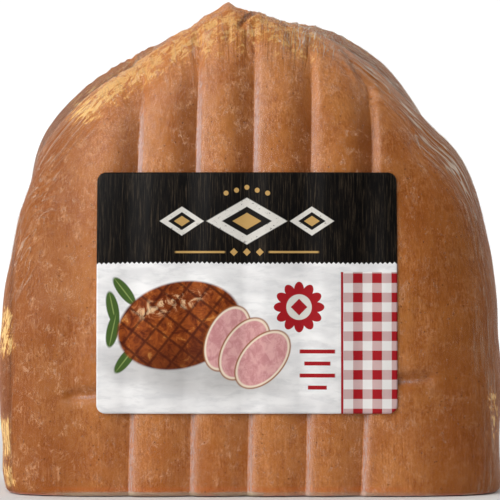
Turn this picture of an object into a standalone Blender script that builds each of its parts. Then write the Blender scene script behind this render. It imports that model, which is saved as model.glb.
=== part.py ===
"""Half of a boneless carve ham in shrink film, standing on its cut face, with a label on its front.

Units are metres. +Z is up, +X runs to the right of someone reading the label and +Y away from
them. The origin is in the cut face, below the middle of the ham.
"""

import bmesh
import bpy
import numpy as np

# Size of the ham
HALF_WIDTH = 0.100
HALF_DEPTH = 0.056
TOP_TAPER = 0.12  # share of the depth lost at the top
SIDE_FLATNESS = 4.8  # 2 would be an ellipse, higher is a flatter face with a tighter edge
TOP_FLATNESS = 3.6
BASE_ROUNDING = 0.004

# The outline seen from the front, as the reach from the origin at angles counted from +X
OUTLINE = [
    (0, 0.0990),
    (15, 0.1028),
    (30, 0.1156),
    (45, 0.1354),
    (57, 0.1558),
    (68, 0.1690),
    (78, 0.1845),
    (86, 0.1875),
    (92.5, 0.1898),
    (99, 0.1835),
    (110, 0.1759),
    (120, 0.1643),
    (130, 0.1428),
    (145, 0.1213),
    (160, 0.1066),
    (180, 0.0970),
]

# Share of the half width within which the mesh runs along the grooves, and where it stops doing so
STRAIGHT_COLUMNS = (0.47, 1.0)

# The knot of meat and film at the very top
KNOT_ANGLE = 92.5
KNOT_HALF_ANGLE = 1.9
KNOT_HEIGHT = 0.0032
KNOT_HALF_DEPTH = 0.016

# Grooves that the bars of the smoking rack press into both faces, and the pads between them
GROOVE_FEET = [-0.0457, -0.0220, 0.0002, 0.0224, 0.0438]
GROOVE_LEANS = [0.027, 0.018, 0.018, 0.019, 0.040]
GROOVE_WALL = 0.0026
GROOVE_WALL_SLOPE = 0.55
GROOVE_PITCH = 0.0224
PAD_CROWN = 0.0012
GROOVE_TOP = (0.90, 0.97)  # where they fade, as a share of the way from the origin to the outline
CROSS_GROOVE_HEIGHT = 0.0422
CROSS_GROOVE_LEAN = 0.049
CROSS_GROOVE_DEPTH = 0.0020
CROSS_GROOVE_WIDTH = 0.0034
CROSS_GROOVE_REACH = 0.068

# The front shoulders lie lower than the back, behind a crease where the film is gathered
SHOULDERS = [(66, 84), (101, 125)]
SHOULDER_FADE = 7
SHOULDER_DROP = 0.0048
CREASE_DEPTH = 0.0018
CREASE_PLACE = -0.08
CREASE_WIDTH = 0.09

# Soft dents over the whole ham, and the broad pleats of the film round its top
DENT_DEPTH = 0.0010
DENT_LENGTH = 0.055
PLEAT_DEPTH = 0.0009
PLEAT_LENGTH = 0.0085
PLEATED = (48, 136)

# The label, which bridges the grooves
LABEL_WIDTH = 0.1154
LABEL_HEIGHT = 0.0928
LABEL_MIDDLE = (-0.0010, 0.0780)
LABEL_CORNER = 0.0034
LABEL_THICKNESS = 0.0004
LABEL_GAP = 0.00035

# Colour, roughness and metallic value of each piece
HAM_LOOK = ((0.40, 0.16, 0.062), 0.32, 0.0)
LABEL_LOOK = ((0.78, 0.78, 0.77), 0.45, 0.0)


def smoothstep(low, high, value):
    t = np.clip((value - low) / (high - low), 0, 1)
    return t * t * (3 - 2 * t)


def window(low, high, fade, value):
    """1 between low and high, and 0 beyond a fade outside them."""
    return smoothstep(low - fade, low + fade, value) * (1 - smoothstep(high - fade, high + fade, value))


def outline_reach(angle):
    """How far the outline is from the origin, on a smooth curve through OUTLINE."""
    knots, reaches = np.array(OUTLINE).T
    slopes = np.gradient(reaches, knots)
    at = np.clip(np.searchsorted(knots, angle) - 1, 0, len(knots) - 2)
    span = knots[at + 1] - knots[at]
    t = (angle - knots[at]) / span
    ends = reaches[at] * (1 + 2 * t) * (1 - t) ** 2 + reaches[at + 1] * t**2 * (3 - 2 * t)
    bends = span * (slopes[at] * t * (1 - t) ** 2 + slopes[at + 1] * t**2 * (t - 1))
    return ends + bends


def front_angle(x, z):
    return np.degrees(np.arctan2(z, x))


def outline_share(x, z):
    """0 at the origin and 1 on the outline, seen from the front."""
    return np.hypot(x, z) / outline_reach(front_angle(x, z))


def half_depth(z):
    """Half of the ham's depth at this height, on its upright axis."""
    return HALF_DEPTH * (1 - TOP_TAPER * (z / outline_reach(90.0)) ** 2)


def flatness(x, z):
    """How flat the faces are on the way from the origin through this point."""
    upright = z**2 / np.maximum(x**2 + z**2, 1e-12)
    return SIDE_FLATNESS + (TOP_FLATNESS - SIDE_FLATNESS) * upright


def face_depth(x, z):
    """Distance of the smooth front or back face from the middle plane."""
    share = np.minimum(outline_share(x, z), 0.9999)
    power = flatness(x, z)
    return half_depth(z) * (1 - share**power) ** (1 / power)


def smooth_normal(x, y, z):
    """Outward direction of the smooth ham at its surface."""
    step = 0.0002
    z = np.maximum(z, step)

    def level(px, py, pz):
        power = flatness(px, pz)
        return (outline_share(px, pz) ** power + np.abs(py / half_depth(pz)) ** power) ** (1 / power)

    slope = [
        level(x + step, y, z) - level(x - step, y, z),
        level(x, y + step, z) - level(x, y - step, z),
        level(x, y, z + step) - level(x, y, z - step),
    ]
    slope[2] = slope[2] * smoothstep(0, BASE_ROUNDING, z)
    normal = np.stack(slope, axis=-1)
    return normal / np.linalg.norm(normal, axis=-1, keepdims=True)


def bar_relief(x, z):
    """Depth pressed in by the upright bars: a crowned pad between two straight-walled grooves."""
    bars = np.array(GROOVE_FEET) + np.array(GROOVE_LEANS) * z[:, None]
    nearest = np.abs(x[:, None] - bars).min(axis=1)
    crown = PAD_CROWN * (1 - np.minimum(nearest / (GROOVE_PITCH / 2), 1)) ** 2
    return crown + GROOVE_WALL_SLOPE * np.maximum(GROOVE_WALL - nearest, 0)


def groove_relief(x, z):
    """Depth pressed into a face by the upright bars and the one cross bar."""
    upright = bar_relief(x, z) * (1 - smoothstep(*GROOVE_TOP, outline_share(x, z)))
    off_bar = (z - CROSS_GROOVE_HEIGHT - CROSS_GROOVE_LEAN * x) / CROSS_GROOVE_WIDTH
    reached = 1 - smoothstep(CROSS_GROOVE_REACH - 0.008, CROSS_GROOVE_REACH, np.abs(x))
    return upright + CROSS_GROOVE_DEPTH * np.exp(-(off_bar**2)) * reached


def dent_relief(x, y, z):
    """Soft dents, which leave the ham under the label as it is."""
    across = np.sin(x / DENT_LENGTH * 6.3 + 2.1 * np.sin(z / DENT_LENGTH * 2.9))
    waves = across * np.cos(z / DENT_LENGTH * 5.1 + y * 40)
    beside = smoothstep(0.7, 1.25, np.abs((x - LABEL_MIDDLE[0]) / LABEL_WIDTH * 2))
    above = smoothstep(0.9, 1.4, (z - LABEL_MIDDLE[1]) / LABEL_HEIGHT * 2)
    return DENT_DEPTH * (0.5 + 0.5 * waves) * np.maximum(beside, above)


def pleat_relief(x, y, z):
    """Broad pleats that run down both faces from the gathered top."""
    angle, share = front_angle(x, z), outline_share(x, z)
    along = np.radians(angle) * outline_reach(angle)
    waves = np.sin(6.283 * along / PLEAT_LENGTH + 9 * share + 1.7 * np.sin(along * 90) + np.sign(y))
    near_top = smoothstep(0.84, 0.97, share) * window(*PLEATED, 8, angle)
    return PLEAT_DEPTH * (0.5 + 0.5 * waves) * near_top


def drop_shoulders(x, y, z):
    """Lowers the front shoulders towards the origin, with a crease behind each."""
    angle, share, place = front_angle(x, z), outline_share(x, z), y / HALF_DEPTH
    in_front = 1 - smoothstep(CREASE_PLACE - 0.12, CREASE_PLACE + 0.25, place)
    crease = np.exp(-(((place - CREASE_PLACE) / CREASE_WIDTH) ** 2))
    drop = sum(window(*ends, SHOULDER_FADE, angle) for ends in SHOULDERS)
    drop = drop * (SHOULDER_DROP * in_front + CREASE_DEPTH * crease) * smoothstep(0.8, 1.0, share)
    kept = 1 - drop / np.maximum(np.hypot(x, z), 0.01)
    return x * kept, z * kept


def raise_knot(x, y, z):
    """Draws the very top up into a small knot."""
    off_angle = (front_angle(x, z) - KNOT_ANGLE) / KNOT_HALF_ANGLE
    at_knot = np.exp(-(off_angle**2) - (y / KNOT_HALF_DEPTH) ** 2)
    grown = 1 + KNOT_HEIGHT * at_knot * smoothstep(0.9, 1.0, outline_share(x, z)) / outline_reach(90.0)
    return x * grown, z * grown


def block_to_ham(block):
    """Carries points on a block of half sizes 1, 1 and 1 to the surface of the smooth ham."""
    u, w, v = block.T
    v = (v + 1) / 2
    height = outline_reach(90.0)
    share = outline_share(HALF_WIDTH * u, height * v)
    power = flatness(HALF_WIDTH * u, height * v)
    shrink = (share**power + np.abs(w) ** power) ** (1 / power)
    x, z = HALF_WIDTH * u / shrink, height * v / shrink
    foot = HALF_WIDTH * u / (1 + np.abs(u) ** SIDE_FLATNESS) ** (1 / SIDE_FLATNESS)
    straight = (1 - smoothstep(*STRAIGHT_COLUMNS, np.abs(u))) * smoothstep(0.5, 1.0, np.abs(w))
    x = x + straight * (foot + np.interp(foot, GROOVE_FEET, GROOVE_LEANS) * z - x)
    return x, np.sign(w) * face_depth(x, z), z


def round_base(x, y, z):
    """Tucks the wall in where it meets the cut face."""
    rise = np.clip(z / BASE_ROUNDING, 0, 1)
    tuck = BASE_ROUNDING * (1 - np.sqrt(1 - (1 - rise) ** 2))
    reach = np.maximum(np.hypot(x, y), 0.01)
    return x * (1 - tuck / reach), y * (1 - tuck / reach)


def ham_surface(block):
    """Points on the ham's real surface for points on the block."""
    x, y, z = block_to_ham(block)
    on_face = smoothstep(0.2, 0.55, np.abs(y) / HALF_DEPTH)
    relief = groove_relief(x, z) * on_face + dent_relief(x, y, z)
    relief = relief + pleat_relief(x, y, z) * smoothstep(0.0, 0.25, np.abs(y) / HALF_DEPTH)
    moved = np.stack([x, y, z], axis=-1) - smooth_normal(x, y, z) * relief[:, None]
    x, y, z = moved.T
    x, z = drop_shoulders(x, y, z)
    x, z = raise_knot(x, y, z)
    x, y = round_base(x, y, z)
    return np.stack([x, y, z], axis=-1)


def block_column(foot):
    """Place on the block of the line that meets the cut face at this x."""
    share = abs(foot) / HALF_WIDTH
    return np.sign(foot) * share / (1 - share**SIDE_FLATNESS) ** (1 / SIDE_FLATNESS)


def block_lines():
    """Where the block is sliced: close at the grooves, at the base's edge and on the cross bar."""
    near_groove = [-0.0078, -0.0036, -0.0018, 0.0, 0.0018, 0.0036, 0.0078]
    columns = [block_column(foot + step) for foot in GROOVE_FEET for step in near_groove]
    columns += [block_column(side * foot) for side in (-1, 1) for foot in (0.062, 0.069, 0.0755)]
    heights = [0.0008, 0.0022, 0.0042, 0.011, 0.019, 0.027, 0.034, 0.039, 0.042, 0.045, 0.050]
    heights += [0.058 + 0.0105 * step for step in range(13)]
    rows = [2 * height / outline_reach(90.0) - 1 for height in heights]
    depths = [step / 7.5 for step in range(-7, 8)]
    return columns, depths, rows


def sliced_block():
    """A cube cut along the block's lines, with its underside left as one face."""
    bm = bmesh.new()
    bmesh.ops.create_cube(bm, size=2)
    for axis, places in enumerate(block_lines()):
        direction = [0, 0, 0]
        direction[axis] = 1
        for place in places:
            bmesh.ops.bisect_plane(
                bm,
                geom=bm.verts[:] + bm.edges[:] + bm.faces[:],
                dist=1e-7,
                plane_co=[place * part for part in direction],
                plane_no=direction,
            )
    underside = [face for face in bm.faces if face.normal.z < -0.5]
    bmesh.ops.dissolve_faces(bm, faces=underside, use_verts=False)
    return bm


def material(name, look):
    colour, roughness, metallic = look
    made = bpy.data.materials.new(name)
    made.use_nodes = True
    shader = made.node_tree.nodes["Principled BSDF"]
    shader.inputs["Base Color"].default_value = (*colour, 1)
    shader.inputs["Roughness"].default_value = roughness
    shader.inputs["Metallic"].default_value = metallic
    made.diffuse_color = (*colour, 1)
    return made


def add_object(name, bm, look, parts):
    mesh = bpy.data.meshes.new(name)
    bm.to_mesh(mesh)
    bm.free()
    mesh.shade_smooth()
    mesh.materials.append(material(name, look))
    made = bpy.data.objects.new(name, mesh)
    parts.objects.link(made)
    return made


def make_ham(parts):
    bm = sliced_block()
    block = np.array([vert.co for vert in bm.verts])
    for vert, place in zip(bm.verts, ham_surface(block)):
        vert.co = place
    bmesh.ops.recalc_face_normals(bm, faces=bm.faces)
    return add_object("ham_in_film", bm, HAM_LOOK, parts)


def round_corners(x, z):
    """Moves points of a rectangle so that its corners become quarter circles."""
    over_x = np.abs(x) - (LABEL_WIDTH / 2 - LABEL_CORNER)
    over_z = np.abs(z) - (LABEL_HEIGHT / 2 - LABEL_CORNER)
    in_corner = (over_x > 1e-9) & (over_z > 1e-9)
    reach = np.hypot(over_x, over_z)
    pull = np.where(in_corner, np.maximum(over_x, over_z) / np.where(in_corner, reach, 1) - 1, 0)
    return x + np.sign(x) * over_x * pull, z + np.sign(z) * over_z * pull


def label_lines(length):
    """Cuts across the label: close in the rounded corners, even between them."""
    corner = [length / 2 - LABEL_CORNER * share for share in (0.0, 0.35, 0.7, 1.0)]
    inner = list(np.linspace(-corner[-1], corner[-1], 11)[1:-1])
    return sorted([-place for place in corner] + inner + corner)


def make_label(parts):
    columns, rows = label_lines(LABEL_WIDTH), label_lines(LABEL_HEIGHT)
    bm = bmesh.new()
    bmesh.ops.create_grid(bm, x_segments=len(columns) - 1, y_segments=len(rows) - 1, size=1)
    for vert in bm.verts:
        column = round((vert.co.x + 1) / 2 * (len(columns) - 1))
        row = round((vert.co.y + 1) / 2 * (len(rows) - 1))
        x, z = round_corners(np.array([columns[column]]), np.array([rows[row]]))
        x, z = x + LABEL_MIDDLE[0], z + LABEL_MIDDLE[1]
        vert.co = (x[0], -face_depth(x, z)[0] - LABEL_GAP, z[0])
    label = add_object("label", bm, LABEL_LOOK, parts)
    shell = label.modifiers.new("thickness", "SOLIDIFY")
    shell.thickness = LABEL_THICKNESS
    shell.offset = 1.0
    return label


def main():
    for old in list(bpy.data.objects):
        bpy.data.objects.remove(old, do_unlink=True)
    parts = bpy.data.collections.new("carve_ham")
    bpy.context.scene.collection.children.link(parts)
    make_ham(parts)
    make_label(parts)


main()
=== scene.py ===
"""Looks of a half ham in shrink film: the smoked meat, the clear film over it and the printed label."""

import bpy
import numpy as np
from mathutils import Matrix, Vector, noise


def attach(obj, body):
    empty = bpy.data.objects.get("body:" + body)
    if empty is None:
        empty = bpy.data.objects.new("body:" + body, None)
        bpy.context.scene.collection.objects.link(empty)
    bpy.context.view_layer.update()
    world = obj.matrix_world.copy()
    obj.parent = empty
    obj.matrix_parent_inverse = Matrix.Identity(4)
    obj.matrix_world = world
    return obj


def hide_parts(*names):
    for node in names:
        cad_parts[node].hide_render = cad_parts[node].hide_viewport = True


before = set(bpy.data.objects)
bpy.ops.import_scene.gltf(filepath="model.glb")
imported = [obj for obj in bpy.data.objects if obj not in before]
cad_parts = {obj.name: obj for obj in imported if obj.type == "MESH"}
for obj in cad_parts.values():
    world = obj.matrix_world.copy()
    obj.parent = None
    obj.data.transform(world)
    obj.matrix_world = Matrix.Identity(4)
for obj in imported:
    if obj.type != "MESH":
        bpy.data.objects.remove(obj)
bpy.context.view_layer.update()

MM = 0.001

# The ham's shape, as the solids have it
HALF_WIDTH = 0.100
HALF_DEPTH = 0.056
TOP_TAPER = 0.12
SIDE_FLATNESS = 4.8
TOP_FLATNESS = 3.6
BASE_ROUNDING = 0.0017
OUTLINE = [
    (0, 0.0990), (15, 0.1028), (30, 0.1156), (45, 0.1354), (57, 0.1556), (63, 0.1617), (69, 0.1722),
    (78, 0.1851), (86, 0.1880), (92.5, 0.1905), (98, 0.1853), (104, 0.1797), (110, 0.1759),
    (120, 0.1646), (130, 0.1420), (145, 0.1208), (160, 0.1062), (170, 0.1000), (176, 0.0990),
    (180, 0.0970),
]

# The knot of meat and film at the very top: angle, half angle, height and half depth of its lumps
KNOTS = [
    (92.5, 1, 0.0046, 0.014),
    (95, 1.2, 0.0030, 0.010),
    (89.4, 0.8, 0.0012, 0.012),
]

# Grooves pressed by the smoking rack. Each pad between them has a steep left wall, a crest a
# third of the way over and a long fall to the next groove.
GROOVE_FEET = [-0.0457, -0.0220, 0.0002, 0.0224, 0.0438]
GROOVE_LEANS = [0.027, 0.018, 0.018, 0.019, 0.040]
GROOVE_PITCH = 0.0224
GROOVE_DEPTH = 0.0028
WALL_WIDTH = 0.0030
WALL_SHARE = 0.68
CREST_PLACE = 0.0080
GROOVE_TOP = (0.93, 0.99)
GROOVE_SHIFT = 0.0010  # the steep wall straddles the groove's line
STRAIGHT_COLUMNS = (0.47, 1)
CROSS_GROOVE_HEIGHT = 0.0422
CROSS_GROOVE_LEAN = 0.049
CROSS_GROOVE_DEPTH = 0.0022
CROSS_GROOVE_WIDTH = 0.0021
CROSS_GROOVE_REACH = 0.074

# The edge that runs up the left side, with a strip beyond it
STRIP_EDGE = 0.0914
STRIP_WANDER = 0.0006
STRIP_WAVES = 75

# The front shoulders, which lie lower than the back, and a fold at the right edge: angles, strength
SHOULDERS = [(66, 84, 1), (101, 125, 1), (31, 36, 0.4)]
SHOULDER_FADE = 7
SHOULDER_DROP = 0.0048
CREASE_DEPTH = 0.0022
CREASE_PLACE = -0.08
CREASE_WIDTH = 0.05

# Soft dents
DENT_DEPTH = 0.0010
DENT_LENGTH = 0.055

# The film
FILM_GAP = 0.00025
LABEL_GAP = 0.00032
LABEL_THICKNESS = 0.00018
LABEL_WIDTH = 0.1154
LABEL_HEIGHT = 0.0926
LABEL_MIDDLE = (-0.0010, 0.0782)
LABEL_CORNER = 0.0034


def fade_in(low, high, value):
    """0 below low and 1 above high, with a smooth rise between."""
    t = np.clip((value - low) / (high - low), 0, 1)
    return t * t * (3 - 2 * t)


def fade_out(low, high, value):
    return 1 - fade_in(low, high, value)


def points_of(*parts):
    return np.stack(parts, axis=-1)


def window(low, high, fade, value):
    """1 between low and high, and 0 beyond a fade outside them."""
    return fade_in(low - fade, low + fade, value) * fade_out(high - fade, high + fade, value)


def hump(value, middle, width):
    """1 at the middle, falling smoothly to 0 on both sides."""
    return np.exp(-(((value - middle) / width) ** 2))


def lumps(points, size, seed):
    """Smooth noise from -1 to 1, with lumps of the given size, or of a size for each axis."""
    places = points / np.asarray(size) + np.array([seed * 7.3, seed * 3.1, seed * 5.7])
    return np.array([noise.noise(Vector(place)) for place in places])


def outline_reach(angle):
    knots, reaches = np.array(OUTLINE).T
    slopes = np.gradient(reaches, knots)
    at = np.clip(np.searchsorted(knots, angle) - 1, 0, len(knots) - 2)
    span = knots[at + 1] - knots[at]
    t = (angle - knots[at]) / span
    ends = reaches[at] * (1 + 2 * t) * (1 - t) ** 2 + reaches[at + 1] * t**2 * (3 - 2 * t)
    bends = span * (slopes[at] * t * (1 - t) ** 2 + slopes[at + 1] * t**2 * (t - 1))
    return ends + bends


TOP_REACH = outline_reach(90)


def front_angle(x, z):
    return np.degrees(np.arctan2(z, x))


def outline_share(x, z):
    return np.hypot(x, z) / outline_reach(front_angle(x, z))


def half_depth(z):
    return HALF_DEPTH * (1 - TOP_TAPER * (z / TOP_REACH) ** 2)


def flatness(x, z):
    upright = z**2 / np.maximum(x**2 + z**2, 1e-12)
    return SIDE_FLATNESS + (TOP_FLATNESS - SIDE_FLATNESS) * upright


def face_depth(x, z):
    share = np.minimum(outline_share(x, z), 0.9999)
    power = flatness(x, z)
    return half_depth(z) * (1 - share**power) ** (1 / power)


def smooth_normal(x, y, z):
    step = 0.0002
    z = np.maximum(z, step)

    def level(px, py, pz):
        power = flatness(px, pz)
        return (outline_share(px, pz) ** power + np.abs(py / half_depth(pz)) ** power) ** (1 / power)

    slope = [
        level(x + step, y, z) - level(x - step, y, z),
        level(x, y + step, z) - level(x, y - step, z),
        level(x, y, z + step) - level(x, y, z - step),
    ]
    slope[2] = slope[2] * fade_in(0, BASE_ROUNDING, z)
    normal = np.stack(slope, axis=-1)
    return normal / np.linalg.norm(normal, axis=-1, keepdims=True)


def groove_sides(x, z):
    """Distance to the groove on the left and to the one on the right, with a large one where none is."""
    past = x[:, None] + GROOVE_SHIFT - np.array(GROOVE_FEET) - np.array(GROOVE_LEANS) * z[:, None]
    left = np.where(past >= 0, past, 1).min(axis=1)
    right = np.where(past < 0, -past, 1).min(axis=1)
    return left, right


def pad_height(x, z):
    """0 at the bottom of a groove and 1 on a pad's crest."""
    left, right = groove_sides(x, z)
    wall = WALL_SHARE * fade_in(-0.0004, WALL_WIDTH, left)
    to_crest = np.clip(1 - left / CREST_PLACE, 0, 1)
    rise = wall + (1 - WALL_SHARE) * (1 - to_crest**2)
    fall = 1 - np.clip(1 - right / (GROOVE_PITCH - CREST_PLACE), 0, 1) ** 1.6
    return rise * fall


def off_cross_groove(x, z):
    return (z - CROSS_GROOVE_HEIGHT - CROSS_GROOVE_LEAN * x) / CROSS_GROOVE_WIDTH


def groove_relief(x, z):
    upright = GROOVE_DEPTH * (1 - pad_height(x, z)) * fade_out(*GROOVE_TOP, outline_share(x, z))
    reached = fade_out(CROSS_GROOVE_REACH - 0.007, CROSS_GROOVE_REACH, np.abs(x))
    return upright + CROSS_GROOVE_DEPTH * hump(off_cross_groove(x, z), 0, 1) * reached


def dent_relief(x, y, z):
    across = np.sin(x / DENT_LENGTH * 6.3 + 2.1 * np.sin(z / DENT_LENGTH * 2.9))
    waves = across * np.cos(z / DENT_LENGTH * 5.1 + y * 40)
    return DENT_DEPTH * (0.5 + 0.5 * waves)


def off_label(x, y, z):
    """0 under the label, where the film is pressed flat, and 1 well away from it."""
    beside = fade_in(0.0012, 0.0110, np.abs(x - LABEL_MIDDLE[0]) - LABEL_WIDTH / 2)
    above = fade_in(0.0012, 0.0110, np.abs(z - LABEL_MIDDLE[1]) - LABEL_HEIGHT / 2)
    return np.maximum(np.maximum(beside, above), fade_in(-0.02, 0, y))


def over_shoulders(angle):
    return sum(strength * window(low, high, SHOULDER_FADE, angle) for low, high, strength in SHOULDERS)


def drop_shoulders(x, y, z):
    angle, share, place = front_angle(x, z), outline_share(x, z), y / HALF_DEPTH
    in_front = fade_out(CREASE_PLACE - 0.12, CREASE_PLACE + 0.18, place)
    crease = hump(place, CREASE_PLACE, CREASE_WIDTH)
    drop = over_shoulders(angle)
    drop = drop * (SHOULDER_DROP * in_front + CREASE_DEPTH * crease) * fade_in(0.8, 1, share)
    kept = 1 - drop / np.maximum(np.hypot(x, z), 0.01)
    return x * kept, z * kept


def raise_knot(x, y, z):
    angle, share = front_angle(x, z), outline_share(x, z)
    raised = np.zeros(len(x))
    for middle, half_angle, height, half_depth_there in KNOTS:
        off_angle = (angle - middle) / half_angle
        raised += height * np.exp(-(off_angle**2) - (y / half_depth_there) ** 2)
    grown = 1 + raised * fade_in(0.9, 1, share) / TOP_REACH
    return x * grown, z * grown


def block_to_ham(block):
    u, w, v = block.T
    share = outline_share(HALF_WIDTH * u, TOP_REACH * v)
    power = flatness(HALF_WIDTH * u, TOP_REACH * v)
    shrink = (share**power + np.abs(w) ** power) ** (1 / power)
    x, z = HALF_WIDTH * u / shrink, TOP_REACH * v / shrink
    foot = HALF_WIDTH * u / (1 + np.abs(u) ** SIDE_FLATNESS) ** (1 / SIDE_FLATNESS)
    straight = fade_out(*STRAIGHT_COLUMNS, np.abs(u)) * fade_in(0.5, 1, np.abs(w))
    x = x + straight * (foot + np.interp(foot, GROOVE_FEET, GROOVE_LEANS) * z - x)
    return x, np.sign(w) * face_depth(x, z), z


def round_base(x, y, z):
    rise = np.clip(z / BASE_ROUNDING, 0, 1)
    tuck = BASE_ROUNDING * (1 - np.sqrt(1 - (1 - rise) ** 2))
    reach = np.maximum(np.hypot(x, y), 0.01)
    return x * (1 - tuck / reach), y * (1 - tuck / reach)


def path_distance(x, z, path):
    """Distance in the front view to a line through the path's points, and how far along it that is."""
    best = np.full(len(x), np.inf)
    along = np.zeros(len(x))
    steps = len(path) - 1
    for count, ((ax, az), (bx, bz)) in enumerate(zip(path, path[1:])):
        dx, dz = bx - ax, bz - az
        t = np.clip(((x - ax) * dx + (z - az) * dz) / (dx * dx + dz * dz), 0, 1)
        off = np.hypot(x - ax - t * dx, z - az - t * dz)
        along = np.where(off < best, (count + t) / steps, along)
        best = np.minimum(best, off)
    return best, along


# Creases at the gathered top, in the front view: width, depth and path in millimetres
TOP_CREASES = [
    (0.65, 1.6, [(4, 190.5), (-1.5, 187), (-5, 181.5)]),
    (0.6, 1.6, [(9, 188.5), (13, 184.5), (15.5, 178.5), (16, 172.5)]),
    (0.8, 0.6, [(-21.5, 182), (-22.5, 176), (-21.5, 168)]),
    (0.8, 0.9, [(-9, 181), (-9.6, 172)]),
    (0.8, 0.8, [(-1.5, 182), (-0.6, 171)]),
    (0.8, 0.8, [(23, 181), (24.5, 171)]),
    (0.9, 1, [(33, 178), (39.5, 168.5), (43, 160)]),
    (0.9, 0.9, [(39, 175), (47, 165.5), (52, 156.5)]),
]


def crease_relief(x, y, z):
    total = np.zeros(len(x))
    for width, depth, path in TOP_CREASES:
        off, along = path_distance(x / MM, z / MM, path)
        swell = np.sin(np.pi * np.clip(0.12 + 0.8 * along, 0, 1))
        total += depth * MM * hump(off, 0, width) * swell
    return total * fade_out(-0.012, 0.012, y)


# Film pleats on the left shoulder run down and outwards, so their lines are turned from the outline
SLANT = (0.446, 0.895)


def flow_spots(x, y, z):
    """Places along the outline and across it, in mm, and the same turned to the slanting pleats."""
    angle = front_angle(x, z)
    along = np.radians(angle) * outline_reach(angle) / MM
    across = np.arctan2(y / half_depth(z), outline_share(x, z)) * HALF_DEPTH / MM
    flat = np.zeros(len(x))
    down = SLANT[0] * along + SLANT[1] * across
    beside = SLANT[1] * along - SLANT[0] * across
    return points_of(along, across, flat), points_of(down, beside, flat)


def pleat_zones(x, y, z):
    """Where the film is gathered: pleats down the top, slanting on the left shoulder, along the rims."""
    angle = front_angle(x, z)
    share = outline_share(x, z)
    behind = fade_in(-0.12, -0.02, y / HALF_DEPTH)
    down = fade_in(0.82, 0.95, share) * window(78, 112, 7, angle)
    slant = fade_in(0.82, 0.93, share) * window(110, 140, 7, angle) * (1 - behind)
    swept = fade_in(0.85, 0.97, share) * window(44, 78, 12, angle)
    swept = np.maximum(swept, 0.9 * behind * window(110, 138, 16, angle))
    rims = 0.28 * fade_in(0.93, 1, share) * (1 - window(26, 134, 9, angle)) * (x > 0)
    return down, slant, np.maximum(swept, rims)


def ridges(points, size, seed):
    """Narrow ridges from 0 to 1 with flat ground between them."""
    fine = lumps(points, size, seed) + 0.45 * lumps(points, np.asarray(size) * 0.55, seed + 9)
    return np.clip(fine * 1.5 + 0.1, 0, 1)


def film_relief(x, y, z):
    """How far the film's pleats stand off the ham, in metres."""
    straight, turned = flow_spots(x, y, z)
    down, slant, swept = pleat_zones(x, y, z)
    total = 0.60 * down * ridges(straight, (3, 22, 1), 1)
    total += 0.65 * slant * ridges(turned, (2.6, 16, 1), 2)
    total += 0.60 * swept * ridges(straight, (34, 2.8, 1), 3)
    return total * MM


def strip_place(x, z):
    """How far to the left a point lies, with a slow wave that makes the strip's edge wander."""
    return -x - STRIP_WANDER * np.sin(z * STRIP_WAVES)


def past_strip_edge(x, z):
    return fade_in(STRIP_EDGE + 0.0004, STRIP_EDGE + 0.0018, strip_place(x, z))


def rim_fold_relief(x, y, z):
    """The edge that runs up the left side: a low ridge, and a strip beyond it that lies deeper."""
    lip = hump(strip_place(x, z), STRIP_EDGE, 0.0009)
    shown = window(0.002, 0.100, 0.012, z) * fade_out(-0.046, -0.010, y)
    return (1.3 * past_strip_edge(x, z) - 0.45 * lip) * shown * MM


def gather_relief(x, y, z):
    """Folds of gathered rind at the top: sharp crests from 0 to 1, in metres."""
    spots = points_of(x, y, z) / MM
    share, angle = outline_share(x, z), front_angle(x, z)
    broad = 1 - np.abs(lumps(spots, (4.6, 9, 7.5), 11)) * 2.4
    fine = 1 - np.abs(lumps(spots, (2.6, 6, 4), 12)) * 2.4
    gathered = fade_in(0.87, 0.97, share) * window(82, 112, 7, angle)
    return (0.85 * np.clip(broad, 0, 1) + 0.40 * np.clip(fine, 0, 1) - 0.60) * gathered * MM


def ham_surface(block, lift, filmed):
    x, y, z = block_to_ham(block)
    normal = smooth_normal(x, y, z)
    on_face = fade_in(0.08, 0.40, np.abs(y) / HALF_DEPTH)
    off_foot = fade_in(0.004, 0.012, z)
    spots = points_of(x, y, z)
    uneven = 0.32 * lumps(spots, 0.013, 5) + 0.12 * lumps(spots, 0.0045, 6)
    soft = dent_relief(x, y, z) + uneven * MM * off_foot
    relief = groove_relief(x, z) * on_face + soft * off_label(x, y, z)
    relief = relief + crease_relief(x, y, z) + rim_fold_relief(x, y, z) - gather_relief(x, y, z)
    at_knot = fade_in(0.90, 0.99, outline_share(x, z)) * window(82, 101, 4, front_angle(x, z))
    relief = relief + 0.9 * MM * lumps(spots, 0.0042, 7) * at_knot
    relief = relief - film_relief(x, y, z) * (1.0 if filmed else 0.55)
    x, y, z = (spots - normal * (relief - lift)[:, None]).T
    x, z = drop_shoulders(x, y, z)
    x, z = raise_knot(x, y, z)
    x, y = round_base(x, y, z)
    return points_of(x, y, np.maximum(z, max(-lift, 0)))


def block_column(foot):
    """Place on the block of the line that meets the cut face at this x."""
    share = abs(foot) / HALF_WIDTH
    return np.sign(foot) * share / (1 - share**SIDE_FLATNESS) ** (1 / SIDE_FLATNESS)


# Distances from a groove at which the mesh has a line: close over the groove's steep wall
NEAR_GROOVE = [-7.4, -5.4, -4, -3, -2.1, -1.3, -0.7, -0.3, 0, 0.3]
NEAR_GROOVE += [0.8, 1.3, 1.8, 2.3, 2.8, 3.6, 4.6, 5.8, 7.2]


def close_columns(count):
    """Widths of the block's columns: close at the grooves, even beyond them."""
    feet = [foot - GROOVE_SHIFT for foot in GROOVE_FEET]
    near = [block_column(foot + step * MM) for foot in feet for step in NEAR_GROOVE]
    fill = [block_column(foot + step * MM) for foot in feet[:-1] for step in (8.9, 10.6, 12.3, 13.8)]
    left = np.linspace(-1, min(near), count)[:-1]
    right = np.linspace(max(near), 1, count)[1:]
    return np.concatenate([left, sorted(near + fill), right])


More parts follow.
